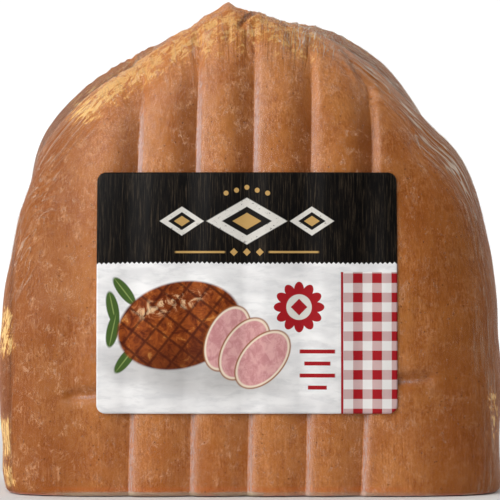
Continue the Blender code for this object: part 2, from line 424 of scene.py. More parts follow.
def close_rows(count):
    """Heights of the block's rows: close at the base's edge and close again on the shoulders."""
    base = np.array([0, 0.3, 0.8, 1.4, 2.1, 3, 4.2, 5.6]) * MM / TOP_REACH
    below = np.linspace(7.4 * MM, 31 * MM, int(count * 0.09)) / TOP_REACH
    cross = np.linspace(32.5 * MM, 51 * MM, int(count * 0.16)) / TOP_REACH
    above = np.linspace(53.5 * MM / TOP_REACH, 0.62, int(count * 0.17))
    high = np.linspace(0.62, 1, int(count * 0.52))[1:]
    return np.concatenate([base, below, cross, above, high])


def grid_quads(high, wide, start=0, turned=False):
    """Faces of a grid whose points are counted row by row."""
    index = start + np.arange(high * wide).reshape(high, wide)
    corners = [index[:-1, :-1], index[:-1, 1:], index[1:, 1:], index[1:, :-1]]
    if turned:
        corners.reverse()
    return np.stack(corners, axis=-1).reshape(-1, 4)


def block_shell(columns, depths, rows):
    """Points and faces of a block's front, back, sides and top, and the loop round its open foot."""
    grids = []
    u, v = np.meshgrid(columns, rows)
    for side in (-1, 1):
        grids.append((points_of(u, np.full(u.shape, float(side)), v), side > 0))
    w, v = np.meshgrid(depths, rows)
    for side in (-1, 1):
        grids.append((points_of(np.full(w.shape, float(side)), w, v), side < 0))
    u, w = np.meshgrid(columns, depths)
    grids.append((points_of(u, w, np.ones(u.shape)), False))
    points = np.concatenate([grid.reshape(-1, 3) for grid, turned in grids])
    quads = []
    start = 0
    for grid, turned in grids:
        high, wide = grid.shape[:2]
        quads.append(grid_quads(high, wide, start, turned))
        start += high * wide
    welded, where = np.unique(points.round(7), axis=0, return_inverse=True)
    quads = where.reshape(-1)[np.concatenate(quads)]
    foot = np.flatnonzero(welded[:, 2] == 0)
    turn = np.arctan2(welded[foot, 1], welded[foot, 0])
    return welded, quads, foot[np.argsort(turn)]


def close_foot(places, quads, loop):
    """Adds shrinking rings inside the foot's loop, so that the cut face has a mesh of its own."""
    faces = quads.tolist()
    ring = list(loop)
    edge = places[loop]
    middle = edge.mean(axis=0)
    for share in (0.985, 0.96, 0.92, 0.86, 0.78, 0.68, 0.56, 0.42, 0.28, 0.14):
        inner = middle + (edge - middle) * share
        start = len(places)
        places = np.concatenate([places, inner])
        new = list(range(start, start + len(ring)))
        for at in range(len(ring)):
            after = (at + 1) % len(ring)
            faces.append((ring[after], ring[at], new[at], new[after]))
        ring = new
    faces.append(tuple(reversed(ring)))
    return places, faces


def add_object(name, data):
    made = bpy.data.objects.new(name, data)
    bpy.context.scene.collection.objects.link(made)
    return made


def mesh_object(name, places, faces):
    mesh = bpy.data.meshes.new(name)
    mesh.from_pydata(places.tolist(), [], faces)
    mesh.validate()
    mesh.shade_smooth()
    return add_object(name, mesh)


def add_field(made, name, values):
    """Stores a number or a vector for each point, for the materials."""
    kind = "FLOAT_VECTOR" if values.ndim > 1 else "FLOAT"
    field = made.data.attributes.new(name, kind, "POINT")
    field.data.foreach_set("vector" if values.ndim > 1 else "value", values.astype(np.float32).ravel())


# Fat that shows through the rind: radius, strength and path in the front view, in millimetres
FAT = [
    (5, 1, [(-65, 150), (-51, 161), (-38, 169.5)]),
    (4.2, 0.8, [(-37, 169.5), (-24, 176.5), (-14, 182)]),
    (7, 0.66, [(-26, 176.5), (-8, 181), (6, 182), (24, 178)]),
    (1.3, 1, [(4, 183), (13, 182.4), (21, 180.5)]),
    (2.6, 0.9, [(-16, 183), (-8, 185)]),
    (2.4, 0.7, [(38, 177), (45, 173.5)]),
    (2.6, 0.95, [(-95.4, 68.5), (-95.2, 55.5)]),
    (2.8, 0.95, [(-95.6, 26), (-94.8, 15.5)]),
    (2.2, 0.85, [(-94.4, 9), (-93.4, 4.5)]),
    (1.6, 0.6, [(94, 40), (95.5, 22)]),
]


def fat_mask(x, z):
    mask = np.zeros(len(x))
    for radius, strength, path in FAT:
        off = path_distance(x / MM, z / MM, path)[0]
        mask = np.maximum(mask, strength * np.exp(-((off / radius) ** 2) * 0.7))
    return mask


def groove_fields(x, y, z):
    """The lit wall of each groove, whose milky haze is partly a painted highlight, the painted shade
    before it and the haze in it.
    """
    left, right = groove_sides(x, z)
    on_face = fade_in(0.5, 0.8, np.abs(y) / HALF_DEPTH)
    barred = on_face * fade_out(0.90, 0.97, outline_share(x, z))
    high = fade_in(0.050, 0.130, z)
    # The wall's milky haze is partly a painted highlight: stronger up high, and weaker up on the right,
    # where less light falls
    turned_away = 1 - 0.65 * fade_in(-0.010, 0.040, x) * high
    wall_highlight = hump(left, 0.0009, 0.0014) * (0.66 + 0.34 * high) * turned_away * barred
    near_cross = hump(off_cross_groove(x, z), -0.55, 0.42) * on_face
    near_cross *= fade_out(CROSS_GROOVE_REACH - 0.012, CROSS_GROOVE_REACH - 0.003, np.abs(x))
    return {
        "lee": fade_out(0.0040, 0.0125, right) * (0.30 + 0.70 * high) * barred,
        "wall": np.maximum(wall_highlight, 0.8 * near_cross),
        "groove": hump(left, 0.0012, 0.0026) * turned_away * barred,
    }


def edge_fields(x, y, z):
    """Fat, painted shade in the creases, the strip up the left side, the cut face and the film's seam at
    the foot.
    """
    # A dark line beside the strip's edge, as painted shade
    shade_beside_strip = 0.5 * hump(x, -STRIP_EDGE - 0.0014, 0.0007) * window(-0.01, 0.1, 0.01, z) * (y < 0)
    valley_shade = np.maximum(shoulder_valley(x, y, z), shade_beside_strip)
    in_front = fade_out(-0.040, -0.004, y)
    seam = window(-0.074, 0.004, 0.006, x) + 0.4 * window(0.004, 0.062, 0.02, x)
    seam *= window(0.0001, 0.0018, 0.0003, z)
    return {
        "fat": fat_mask(x, z) * (1 - fade_in(-0.022, 0.010, y) * (z < 0.12)),
        "crease": np.maximum(crease_relief(x, y, z) / (2 * MM), valley_shade),
        "strip": past_strip_edge(x, z) * window(-0.01, 0.105, 0.012, z) * in_front,
        "cut": fade_out(0.0003, 0.0009, z),
        "foot": seam * fade_out(-0.02, 0, y),
        "foot_line": window(0.0020, 0.0034, 0.0006, z) * window(-0.076, 0.060, 0.01, x),
    }


def side_fields(x, y, z):
    """The shoulders and sides, darkened as painted shade; the rims, with gathered film and painted
    highlights; the right side, with a painted sheen.
    """
    angle, share = front_angle(x, z), outline_share(x, z)
    shoulder = fade_in(0.62, 0.86, share) * fade_in(12, 40, np.abs(angle - 92))
    shoulder *= 0.8 + 0.3 * fade_in(0, 0.05, x)
    behind = fade_in(-0.10, 0, y / HALF_DEPTH) * window(104, 150, 6, angle)
    low_behind = fade_in(-0.035, -0.005, y) * fade_out(0.13, 0.17, z)
    seen = (0.1 + 0.9 * fade_in(0.09, 0.13, z)) * (1 - 0.8 * low_behind)
    # Whitish haze along the right rim: gathered film, and painted highlights on its pleats
    right_rim = fade_in(0.90, 0.97, share) * fade_in(0, 0.02, x) * seen
    below_shoulder = fade_out(0.085, 0.110, z)
    return {
        "side": np.maximum(fade_in(0.052, 0.076, np.abs(x)), shoulder),
        "rim": np.maximum(right_rim, 0.15 * behind),
        "bulge": behind,
        # Painted sheen down the right side, below the shoulder
        "right_side": fade_in(0.083, 0.092, x) * below_shoulder * (1 - 0.85 * low_behind),
        "right_face": fade_in(0.045, 0.075, x),
    }


PLEATS = ("down_pleats", "slant_pleats", "swept_pleats")


def add_fields(made):
    """Works out where each look belongs on a ham or film mesh."""
    places = np.empty(len(made.data.vertices) * 3)
    made.data.vertices.foreach_get("co", places)
    x, y, z = places.reshape(-1, 3).T
    straight, turned = flow_spots(x, y, z)
    fields = {"flow": straight, "slanted": turned}
    fields.update(zip(PLEATS, pleat_zones(x, y, z)))
    for some_fields in (groove_fields, edge_fields, side_fields):
        fields.update(some_fields(x, y, z))
    for name, values in fields.items():
        add_field(made, name, values)


def shoulder_valley(x, y, z):
    """1 in the crease between the front shoulders and the back that stands up behind them, which is
    darkened as painted shade.
    """
    angle, share, place = front_angle(x, z), outline_share(x, z), y / HALF_DEPTH
    in_valley = window(-0.135, -0.085, 0.022, place) * fade_in(0.85, 0.95, share)
    return 0.9 * in_valley * over_shoulders(angle)


def make_shell(name, columns, depths, rows, lift, filmed):
    block, quads, loop = block_shell(close_columns(columns), np.linspace(-1, 1, depths), close_rows(rows))
    places = ham_surface(block, lift, filmed)
    places, faces = close_foot(places, quads, loop)
    made = mesh_object(name, places, faces)
    add_fields(made)
    return made


class Paint:
    """Builds the nodes of one material. Values can be numbers or other nodes' outputs."""

    def __init__(self, name):
        self.material = bpy.data.materials.new(name)
        self.material.use_nodes = True
        self.tree = self.material.node_tree
        self.tree.nodes.clear()

    def plug(self, socket, value):
        if isinstance(value, bpy.types.NodeSocket):
            self.tree.links.new(value, socket)
        elif isinstance(value, tuple) and len(value) == 3 and socket.type == "RGBA":
            socket.default_value = (*value, 1)
        else:
            socket.default_value = value

    def node(self, kind, inputs=None, **settings):
        made = self.tree.nodes.new("ShaderNode" + kind)
        for key, value in settings.items():
            setattr(made, key, value)
        for key, value in (inputs or {}).items():
            self.plug(made.inputs[key], value)
        return made

    def math(self, operation, *values):
        return self.node("Math", dict(enumerate(values)), operation=operation).outputs[0]

    def chain(self, operation, total, *others):
        """Makes one value of several, two at a time."""
        for other in others:
            total = self.math(operation, total, other)
        return total

    def add(self, *values):
        return self.chain("ADD", *values)

    def minus(self, a, b):
        return self.math("SUBTRACT", a, b)

    def times(self, *values):
        return self.chain("MULTIPLY", *values)

    def most(self, *values):
        return self.chain("MAXIMUM", *values)

    def least(self, a, b):
        return self.math("MINIMUM", a, b)

    def sum_of(self, *products):
        """The sum of some products, each given by its factors."""
        return self.add(*[self.times(*factors) for factors in products])

    def centred(self, pattern, strength):
        """A pattern that adds as much as it takes away."""
        return self.times(self.minus(pattern, 0.5), strength)

    def less(self, value, strength):
        """1, less a share of the value."""
        return self.minus(1, self.times(value, strength))

    def step(self, low, high, value):
        """0 below low and 1 above high, with a smooth rise between. low may be the larger."""
        flip = low > high
        ends = {"Value": value, "From Min": min(low, high), "From Max": max(low, high)}
        ends.update({"To Min": float(flip), "To Max": float(not flip)})
        return self.node("MapRange", ends, interpolation_type="SMOOTHSTEP").outputs["Result"]

    def mix(self, share, a, b):
        return self.node("Mix", {0: share, 6: a, 7: b}, data_type="RGBA").outputs[2]

    def over(self, colour, new, *shares):
        """Lays a new colour over a colour, as strongly as the product of the shares."""
        return self.mix(self.times(*shares), colour, new)

    def field(self, name):
        return self.node("Attribute", attribute_name=name).outputs["Fac"]

    def vector_field(self, name):
        return self.node("Attribute", attribute_name=name).outputs["Vector"]

    def place(self):
        """The point on the object, in millimetres."""
        return self.shrunk(self.node("TexCoord").outputs["Object"], MM)

    def shrunk(self, vector, size):
        """A vector divided by a size, or by a size for each axis."""
        sizes = size if isinstance(size, tuple) else (size,) * 3
        shares = tuple(1 / part for part in sizes)
        return self.node("VectorMath", {0: vector, 1: shares}, operation="MULTIPLY").outputs[0]

    def noise(self, vector, size, detail=2.0, roughness=0.5, twist=0.0):
        """Noise from about 0.2 to 0.8 with lumps of the given size, or of a size for each axis."""
        inputs = {"Vector": self.shrunk(vector, size), "Scale": 1, "Detail": detail}
        inputs.update({"Roughness": roughness, "Distortion": twist})
        return self.node("TexNoise", inputs).outputs["Fac"]

    def dots(self, vector, size):
        """Distance to the nearest of many scattered points, as a share of size."""
        inputs = {"Vector": self.shrunk(vector, size), "Scale": 1.0}
        return self.node("TexVoronoi", inputs).outputs["Distance"]

    def lines(self, vector, size, width, twist=0.2):
        """Thin lines that wander along the longer of the sizes, from 0 beside them to 1."""
        off = self.math("ABSOLUTE", self.minus(self.noise(vector, size, 1, 0.5, twist), 0.5))
        return self.step(width, 0, off)

    def placed(self, vector, middle, half, turn=0.0):
        """The place within a shape, counted from its middle in its half sizes, turned in degrees."""
        inputs = {"Vector": vector, "Location": (*middle, 0), "Scale": (*half, 1)}
        inputs["Rotation"] = (0, 0, float(np.radians(turn)))
        return self.node("Mapping", inputs, vector_type="TEXTURE").outputs[0]

    def oval(self, vector, middle, half, turn=0.0, soft=0.03):
        """1 inside an oval and 0 outside it."""
        inside = self.placed(vector, middle, half, turn)
        length = self.node("VectorMath", {0: inside}, operation="LENGTH").outputs["Value"]
        return self.step(1 + soft, 1 - soft, length)

    def split(self, vector):
        made = self.node("SeparateXYZ", {0: vector})
        return made.outputs[0], made.outputs[1]

    def box(self, vector, middle, half, turn=0.0, soft=0.02):
        x, y = self.split(self.placed(vector, middle, half, turn))
        reach = self.most(self.math("ABSOLUTE", x), self.math("ABSOLUTE", y))
        return self.step(1 + soft, 1 - soft, reach)

    def diamond(self, vector, middle, half, soft=0.03):
        x, y = self.split(self.placed(vector, middle, half))
        reach = self.add(self.math("ABSOLUTE", x), self.math("ABSOLUTE", y))
        return self.step(1 + soft, 1 - soft, reach)

    def bump(self, height, distance, strength):
        inputs = {"Height": height, "Distance": distance, "Strength": strength}
        return self.node("Bump", inputs).outputs["Normal"]

    def finish(self, shader):
        self.node("OutputMaterial", {"Surface": shader.outputs[0]})
        return self.material


def srgb(red, green, blue):
    """A colour as a screen shows it, from 0 to 255, turned into the light that it stands for."""
    shares = [part / 255 for part in (red, green, blue)]
    return tuple(part / 12.92 if part <= 0.04045 else ((part + 0.055) / 1.055) ** 2.4 for part in shares)


RIND_DARK = srgb(176, 101, 39)
RIND_LIGHT = srgb(193, 121, 57)
RIND_PALE = srgb(216, 148, 94)
RIND_DEEP = srgb(146, 74, 22)
# Pale pink for painted highlights along the film's wrinkles
WRINKLE_HIGHLIGHT_PINK = srgb(230, 172, 126)
# Deep brown for painted shade on the sides, shoulders and the fall of each pad, and the strip's own
# darker brown
RIND_SHADE_AND_STRIP = srgb(98, 42, 6)
# Deep brown for painted shade in the creases, in the valley behind the shoulders and beside the strip's
# edge
CREASE_SHADE_BROWN = srgb(78, 36, 10)
PIT_BROWN = srgb(84, 38, 16)
FOOT_ORANGE = srgb(206, 98, 34)
FAT_AMBER = srgb(198, 124, 46)
FAT_CREAM = srgb(248, 210, 138)


def fat_share(paint, place):
    """Streaky share of amber fat, only within the fat field, and of the creamy fat in its core."""
    field, pleats = paint.field("fat"), paint.field("down_pleats")
    streaks = paint.noise(paint.vector_field("slanted"), (1.2, 4, 1), 5, 0.66, 0.7)
    blotches = paint.noise(place, 4.6, 6, 0.72, 0.6)
    drops = paint.centred(paint.noise(place, (1.1, 1.1, 6), 4, 0.6, 0.3), 2.6)
    uneven = [paint.centred(streaks, 3.6), paint.centred(blotches, 3.6), paint.times(drops, pleats)]
    level = paint.add(field, *uneven)
    inside = paint.step(0.04, 0.30, field)
    amber = paint.times(paint.step(0.30, 0.62, level), inside)
    return amber, paint.times(paint.step(0.62, 0.92, level), inside, paint.less(pleats, 0.55))


def pleat_height(paint):
    """The film's fine pleats: down the gathered top, slanting on the left shoulder, along the rims."""
    kinds = [
        ("flow", (1.7, 16, 1), 0.6),
        ("slanted", (1.5, 12, 1), 1),
        ("flow", (30, 1.5, 1), 1),
    ]
    heights = []
    for name, (way, size, strength) in zip(PLEATS, kinds):
        pattern = paint.noise(paint.vector_field(way), size, 2, 0.5, 0.2)
        heights.append((pattern, paint.field(name), strength))
    return paint.sum_of(*heights)


def rind_colour(paint, blotches, scuffs, drips, place):
    """Smoked rind: a warm brown, with paler and deeper marks of several sizes."""
    broad = paint.noise(place, 24, 3, 0.55)
    grain = paint.noise(place, (0.6, 0.6, 1.1), 1, 0.5)
    folds = paint.noise(paint.vector_field("flow"), (34, 1.2, 1), 3, 0.62, 0.2)
    worn = paint.add(0.35, paint.times(paint.step(0.42, 0.58, paint.noise(place, 11, 3, 0.55)), 0.65))
    colour = paint.mix(paint.step(0.34, 0.66, broad), RIND_DARK, RIND_LIGHT)
    layers = [
        (blotches, (0.48, 0.66), (0.50, 0.34), worn, 0.30),
        (scuffs, (0.56, 0.63), (0.45, 0.37), worn, 0.44),
        (drips, (0.54, 0.64), (0.46, 0.36), worn, 0.40),
        (grain, (0.54, 0.62), (0.46, 0.38), worn, 0.26),
        (folds, (0.51, 0.62), (0.49, 0.38), paint.field("swept_pleats"), 0.45),
    ]
    for pattern, pale, deep, where, strength in layers:
        colour = paint.over(colour, RIND_PALE, paint.step(*pale, pattern), where, strength)
        colour = paint.over(colour, RIND_DEEP, paint.step(*deep, pattern), where, strength)
    return colour


def meat_material():
    paint = Paint("smoked_rind")
    place = paint.place()
    blotches = paint.noise(place, (5, 5, 7), 4, 0.6)
    scuffs = paint.noise(place, (1.9, 1.9, 3), 5, 0.74, 0.3)
    drips = paint.noise(place, (0.75, 0.75, 12), 3, 0.6)
    pits = paint.step(0.11, 0.05, paint.dots(place, 3.4))
    # Painted shade: the sides, the shoulders and the lee of each pad, the fall that faces away from the
    # light, are darkened towards deep brown
    painted_shade = paint.least(paint.sum_of((paint.field("side"), 0.46), (paint.field("lee"), 0.56)), 0.62)
    fat, cream = fat_share(paint, place)
    colour = rind_colour(paint, blotches, scuffs, drips, place)
    coats = [
        (RIND_SHADE_AND_STRIP, paint.most(painted_shade, paint.times(paint.field("strip"), 0.66))),
        # Painted highlights along the film's wrinkles, laid on the rind
        (WRINKLE_HIGHLIGHT_PINK, wrinkles_and_glints(paint, place), 0.46),
        (PIT_BROWN, pits, 0.6),
        (FAT_AMBER, fat, 0.72),
        (FAT_CREAM, cream, 0.88),
        # Painted shade in the creases, in the valley behind the front shoulders and along the strip's
        # edge
        (CREASE_SHADE_BROWN, paint.least(paint.field("crease"), 0.85)),
        (FOOT_ORANGE, paint.field("foot_line"), 0.3),
        (cut_colour(paint, place), paint.field("cut")),
    ]
    for coat in coats:
        colour = paint.over(colour, *coat)
    heights = [(blotches, 0.5), (scuffs, 0.25), (drips, 0.12), (pleat_height(paint), 1.8), (pits, -0.3)]
    look = {"Base Color": colour, "Roughness": 0.5, "Specular IOR Level": 0.08}
    look["Normal"] = paint.bump(paint.sum_of(*heights), 0.0008, 0.9)
    return paint.finish(paint.node("BsdfPrincipled", look))


def cut_colour(paint, place):
    """The cut face: pink muscle in rounded bundles, with pale seams between them."""
    swirl = paint.node("TexNoise", {"Vector": paint.shrunk(place, 22), "Scale": 1, "Detail": 3.0})
    swirl = paint.shrunk(swirl.outputs["Color"], 2)
    warped = paint.node("VectorMath", {0: paint.shrunk(place, 34), 1: swirl}, operation="ADD").outputs[0]
    bundles = paint.node("TexVoronoi", {"Vector": warped, "Scale": 1.0}, feature="DISTANCE_TO_EDGE")
    seam = paint.step(0.06, 0.01, bundles.outputs["Distance"])
    grain = paint.noise(place, (1.2, 3, 1.2), 4, 0.6)
    patches = paint.noise(place, 9, 4, 0.6)
    pink = paint.mix(paint.step(0.3, 0.7, patches), srgb(214, 138, 124), srgb(232, 168, 150))
    pink = paint.over(pink, srgb(240, 190, 172), paint.step(0.5, 0.75, grain), 0.4)
    return paint.over(pink, srgb(240, 214, 192), seam, 0.6)


FILM_MILKY = srgb(242, 212, 186)
WALL_HAZE_AND_HIGHLIGHT = srgb(226, 206, 208)
RIM_HAZE_AND_HIGHLIGHT = srgb(248, 234, 216)
FOOT_HAZE_AND_REFLECTION = srgb(196, 178, 152)


def pleat_lines(paint):
    """Thin pale lines where the film is folded on itself."""
    flow = paint.vector_field("flow")
    down = paint.lines(flow, (1.7, 15, 1), 0.030)
    slant = paint.lines(paint.vector_field("slanted"), (1.5, 12, 1), 0.032)
    swept = paint.most(paint.lines(flow, (40, 1.1, 1), 0.045), paint.lines(flow, (44, 2.6, 1), 0.022))
    lines = zip((down, slant, swept), PLEATS)
    return paint.most(*[paint.times(line, paint.field(name)) for line, name in lines])


def wrinkles_and_glints(paint, place):
    """Short thin wrinkles in the film, in scattered patches, fewer on the right. Painted pale, they stand
    for the wrinkles' highlights.
    """
    upright = paint.lines(place, (1.5, 1.5, 5), 0.050, 0.8)
    across = paint.lines(place, (2.6, 2.6, 1.9), 0.036, 1.2)
    patches = paint.step(0.51, 0.61, paint.noise(place, 5, 4, 0.65))
    return paint.times(paint.most(upright, across), patches, paint.less(paint.field("right_face"), 0.62))


def film_haze(paint, place, lines):
    """How milky the film is, from 0 to 1: at its folds, in the grooves and at its seam by the foot; part
    of it is painted light: highlights on the groove walls, rims and wrinkles, a sheen down the right side
    and the floor's reflection at the foot.
    """
    scuffs = paint.noise(place, (2.2, 2.2, 3.6), 5, 0.80, 0.8)
    worn = paint.step(0.42, 0.58, paint.noise(place, 9, 3, 0.55))
    specks = paint.step(0.11, 0.05, paint.dots(paint.shrunk(place, (1, 1, 1.25)), 2.8))
    broken = paint.step(0.32, 0.66, paint.noise(place, (0.9, 0.9, 3.5), 5, 0.72, 0.4))
    # Lavender haze on the groove walls, partly a painted highlight, with broken edges
    ragged_wall_highlight = paint.step(0.05, 1.2, paint.add(paint.field("wall"), paint.centred(broken, 0.25)))
    # Grey streaks down the right side: a painted sheen of light along the rim
    side_sheen_streaks = paint.step(0.44, 0.62, paint.noise(place, (0.9, 0.9, 30), 3, 0.6, 0.1))
    bands = paint.step(0.42, 0.60, paint.noise(place, (3.5, 3.5, 40), 3, 0.6, 0.2))
    seam = paint.step(0.15, 0.55, paint.noise(place, (26, 26, 4), 3))
    haze = paint.sum_of(
        # Pale pleat lines, stronger on the rims, where they are partly painted highlights
        (lines, paint.sum_of((0.16,), (paint.field("rim"), 0.60), (paint.field("slant_pleats"), 0.20))),
        (paint.step(0.57, 0.66, scuffs), worn, 0.13),
        (specks, 0.28),
        (paint.field("groove"), 0.14),
        (ragged_wall_highlight, paint.sum_of((0.24,), (broken, 0.20))),
        # Milky haze along the wrinkles, partly a painted highlight
        (wrinkles_and_glints(paint, place), 0.13),
        (side_sheen_streaks, paint.field("right_side"), bands, 0.32),
        # Milky beige seam at the foot, which also stands for a painted reflection of the floor in the
        # film's bottom edge
        (paint.field("foot"), seam, 0.62),
    )
    # Less haze on the back bulge, and in the lee of each pad, where it keeps the painted shade dark
    clearer_and_shaded = paint.most(paint.field("bulge"), paint.field("lee"))
    return paint.times(paint.least(haze, 0.85), paint.less(clearer_and_shaded, 0.5))


def film_material():
    """Clear film that clings to the ham: glossy, with a little milky haze where it is gathered, and
    painted highlights in that haze.
    """
    paint = Paint("clear_shrink_film")
    place = paint.place()
    lines = pleat_lines(paint)
    crinkles = paint.noise(place, (0.8, 0.8, 1.4), 3, 0.6, 0.5)
    wrinkled = paint.step(0.42, 0.62, paint.noise(place, 14, 3, 0.5))
    height = paint.sum_of(
        (pleat_height(paint), 1.6),
        (lines, 0.25),
        (crinkles, paint.sum_of((0.05,), (wrinkled, 0.09))),
        (wrinkles_and_glints(paint, place), 0.16),
        (paint.noise(place, (3.4, 3.4, 5.5), 5, 0.66, 0.4), 0.75),
    )
    normal = paint.bump(height, 0.0009, 1)
    milk = FILM_MILKY
    for colour, name in ((RIM_HAZE_AND_HIGHLIGHT, "rim"), (WALL_HAZE_AND_HIGHLIGHT, "wall"), (FOOT_HAZE_AND_REFLECTION, "foot")):
        milk = paint.over(milk, colour, paint.field(name))
    clear = paint.node("BsdfTransparent")
    milky = paint.node("BsdfDiffuse", {"Color": milk, "Normal": normal})
    gloss = paint.node("BsdfAnisotropic", {"Color": (1, 1, 1), "Roughness": 0.28, "Normal": normal})
    edge = paint.node("Fresnel", {"IOR": 1.45, "Normal": normal})
    tight = paint.less(paint.most(paint.field("side"), paint.field("bulge")), 0.60)
    share = paint.times(paint.least(paint.times(edge.outputs[0], 0.9), 0.044), tight)
    haze = film_haze(paint, place, lines)
    body = paint.node("MixShader", {0: haze, 1: clear.outputs[0], 2: milky.outputs[0]})
    return paint.finish(paint.node("MixShader", {0: share, 1: body.outputs[0], 2: gloss.outputs[0]}))


def round_corners(x, z):
    over_x = np.abs(x) - (LABEL_WIDTH / 2 - LABEL_CORNER)
    over_z = np.abs(z) - (LABEL_HEIGHT / 2 - LABEL_CORNER)
    in_corner = (over_x > 1e-9) & (over_z > 1e-9)
    reach = np.hypot(over_x, over_z)
    pull = np.where(in_corner, np.maximum(over_x, over_z) / np.where(in_corner, reach, 1) - 1, 0)
    return x + np.sign(x) * over_x * pull, z + np.sign(z) * over_z * pull


def label_relief(x, z):
    """How far the label sinks between the pads that it bridges."""
    near = [pad_height(x + step * MM, z) for step in (-3.2, -1.6, 0, 1.6, 3.2)]
    return 0.5 * GROOVE_DEPTH * (1 - sum(near) / len(near))


def make_label():
    """A label that lies on the pads and bridges the grooves between them."""
    columns = np.linspace(-LABEL_WIDTH / 2, LABEL_WIDTH / 2, 181)
    rows = np.linspace(-LABEL_HEIGHT / 2, LABEL_HEIGHT / 2, 101)
    flat_x, flat_z = [part.ravel() for part in np.meshgrid(columns, rows)]
    flat_x, flat_z = round_corners(flat_x, flat_z)
    x, z = flat_x + LABEL_MIDDLE[0], flat_z + LABEL_MIDDLE[1]
    spots = points_of(x, np.zeros(len(x)), z)
    buckle = 0.05 * MM * lumps(spots, 0.009, 8)
    y = label_relief(x, z) - face_depth(x, z) - LABEL_GAP + buckle
    faces = grid_quads(len(rows), len(columns)).tolist()
    label = mesh_object("front_label", points_of(x, y, z), faces)
    add_field(label, "print", points_of(flat_x / MM, flat_z / MM, np.zeros(len(x))))
    shell = label.modifiers.new("thickness", "SOLIDIFY")
    shell.thickness = LABEL_THICKNESS
    shell.offset = 1.0
    return label


INK_CREAM = srgb(222, 219, 212)
INK_GOLD = srgb(196, 158, 96)
INK_RED = srgb(164, 26, 34)
GLAZE_DARK = srgb(98, 38, 14)
GLAZE_MIDDLE = srgb(158, 78, 28)
GLAZE_LIGHT = srgb(222, 150, 76)
SLICE_PINK = srgb(222, 170, 168)
SLICE_DEEP = srgb(200, 138, 140)
SLICE_RIM = srgb(150, 92, 50)
LEAF = srgb(72, 98, 44)
LEAF_VEIN = srgb(132, 152, 86)
INK_BLACK = srgb(24, 21, 19)


def wood_print(paint, spot):
    """The dark upper field: charred boards with thin upright grain."""
    grain = paint.noise(spot, (0.55, 12, 1), 6, 0.75, 0.25)
    broad = paint.noise(spot, (4, 30, 1), 3, 0.6)
    wood = paint.mix(paint.step(0.46, 0.78, grain), srgb(4, 3, 3), srgb(76, 64, 50))
    return paint.over(wood, srgb(8, 6, 5), paint.step(0.5, 0.3, broad), 0.6)


def paper_print(paint, spot):
    """The pale lower field: paper with soft creases printed on it."""
    creases = paint.noise(spot, (16, 7, 5), 4, 0.5, 0.4)
    folds = paint.noise(spot, (9, 2.6, 5), 5, 0.62, 0.3)
    paper = paint.mix(paint.step(0.30, 0.70, creases), srgb(228, 228, 229), srgb(250, 250, 250))
    return paint.over(paper, srgb(212, 213, 215), paint.step(0.52, 0.36, folds), 0.40)


def top_ornament(paint, spot, colour):
    """Cream diamonds in a row, with gold dots and rules, where a name would stand."""
    worn = paint.step(0.30, 0.42, paint.noise(spot, (1.4, 1, 1), 4, 0.7))
    for middle, half in [((0, 27.5), (15.5, 9)), ((-25, 27.5), (8.5, 5.6)), ((25, 27.5), (8.5, 5.6))]:
        for size, ink, share in ((1, INK_CREAM, worn), (0.62, INK_BLACK, 1), (0.36, INK_GOLD, 1)):
            shape = paint.diamond(spot, middle, tuple(part * size for part in half))
            colour = paint.over(colour, ink, shape, share)
    for across in (-8, -4, 0, 4, 8):
        dot = paint.oval(spot, (across, 40.5 - abs(across) * 0.28), (0.95, 0.95), soft=0.1)
        colour = paint.mix(dot, colour, INK_GOLD)
    for across in (-18, 18):
        rule = paint.box(spot, (across, 15.6), (9.5, 0.4), soft=0.06)
        colour = paint.mix(rule, colour, INK_GOLD)
    for across in (-5, 0, 5):
        colour = paint.mix(paint.diamond(spot, (across, 15.6), (1.5, 1.5)), colour, INK_GOLD)
    return colour


# Middle and turn of each leaf, and middle of each slice
LEAVES = [((-47, 0.5), 128), ((-51.5, -6), 102), ((-51.5, -14.5), 78), ((-46.5, -25.5), 52)]
SLICES = [(-7.5, -17.5), (-1, -21.5), (6, -25.5)]
PICTURED_HAM = ((-26, -12.5), (24, 16.5), 14)


def ham_picture(paint, spot, colour):
    """A scored, glazed ham with fanned slices, in plain shapes."""
    shadow = paint.oval(spot, (-20, -29.5), (33, 9.5), -6, soft=0.45)
    colour = paint.over(colour, srgb(120, 116, 112), shadow, 0.45)
    for middle, turn in LEAVES:
        colour = paint.over(colour, LEAF, paint.oval(spot, middle, (6.6, 2.3), turn, soft=0.1))
        colour = paint.over(colour, LEAF_VEIN, paint.oval(spot, middle, (5.8, 0.25), turn, soft=0.3))
    glaze = paint.noise(spot, 4.2, 6, 0.7, 0.9)
    meat = paint.mix(paint.step(0.36, 0.60, glaze), GLAZE_DARK, GLAZE_MIDDLE)
    meat = paint.over(meat, GLAZE_LIGHT, paint.step(0.56, 0.74, glaze))
    scores = paint.split(paint.placed(spot, PICTURED_HAM[0], (6.4, 6.4), 52))
    lines = paint.least(*[paint.math("PINGPONG", way, 0.5) for way in scores])
    meat = paint.over(meat, srgb(70, 24, 10), paint.step(0.12, 0.03, lines), 0.75)
    up = paint.split(paint.placed(spot, *PICTURED_HAM))[1]
    meat = paint.over(meat, srgb(74, 28, 12), paint.step(0, -0.9, up), 0.6)
    colour = paint.over(colour, meat, paint.oval(spot, *PICTURED_HAM))
    shine = paint.oval(spot, (-30, -4.5), (13, 3.2), 16, soft=0.5)
    colour = paint.over(colour, srgb(246, 214, 170), shine, paint.step(0.5, 0.62, glaze), 0.7)
    for count, middle in enumerate(SLICES):
        colour = slice_print(paint, spot, colour, middle, -24.0 - 9.0 * count)
    return colour


